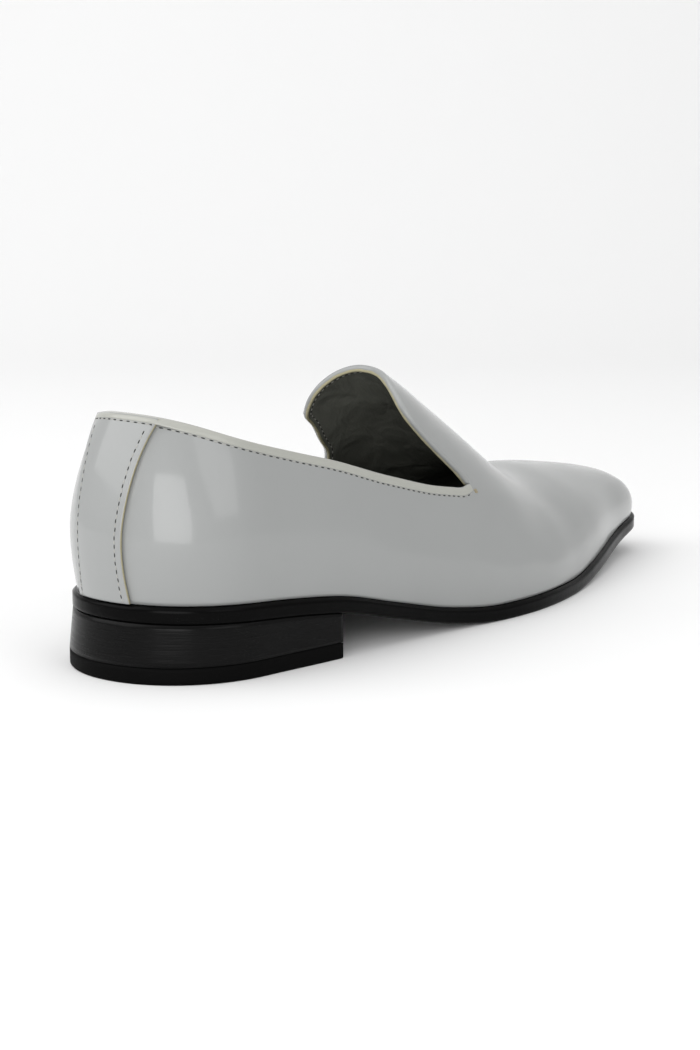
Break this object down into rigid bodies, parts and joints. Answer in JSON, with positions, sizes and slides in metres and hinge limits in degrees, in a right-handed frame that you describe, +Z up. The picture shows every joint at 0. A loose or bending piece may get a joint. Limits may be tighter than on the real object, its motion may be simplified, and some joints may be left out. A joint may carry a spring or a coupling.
{
  "type": "slip-on dress shoe",
  "caption": "Right slip-on dress shoe: patent leather upper with a tall rounded tongue cut in one with the vamp, back strip, thin sole and a low stacked heel.",
  "frame": {"origin": "middle of the shoe's footprint, on the floor", "axes": "+Y from heel to toe, +X to the outer side of the right foot, +Z up"},
  "size_m": [0.0978, 0.2982, 0.0881],
  "materials": {
    "upper": "glossy pale grey patent",
    "back_strip": "glossy pale grey patent",
    "insole": "matte black",
    "outsole": "black, polished edge",
    "heel_stack": "glossy black with fine stacked lines",
    "top_lift": "matte black"
  },
  "bodies": {
    "root": {"upper": "upper", "back_strip": "back_strip", "insole": "insole", "outsole": "outsole", "heel_stack": "heel_stack", "top_lift": "top_lift"}
  },
  "joints": []
}
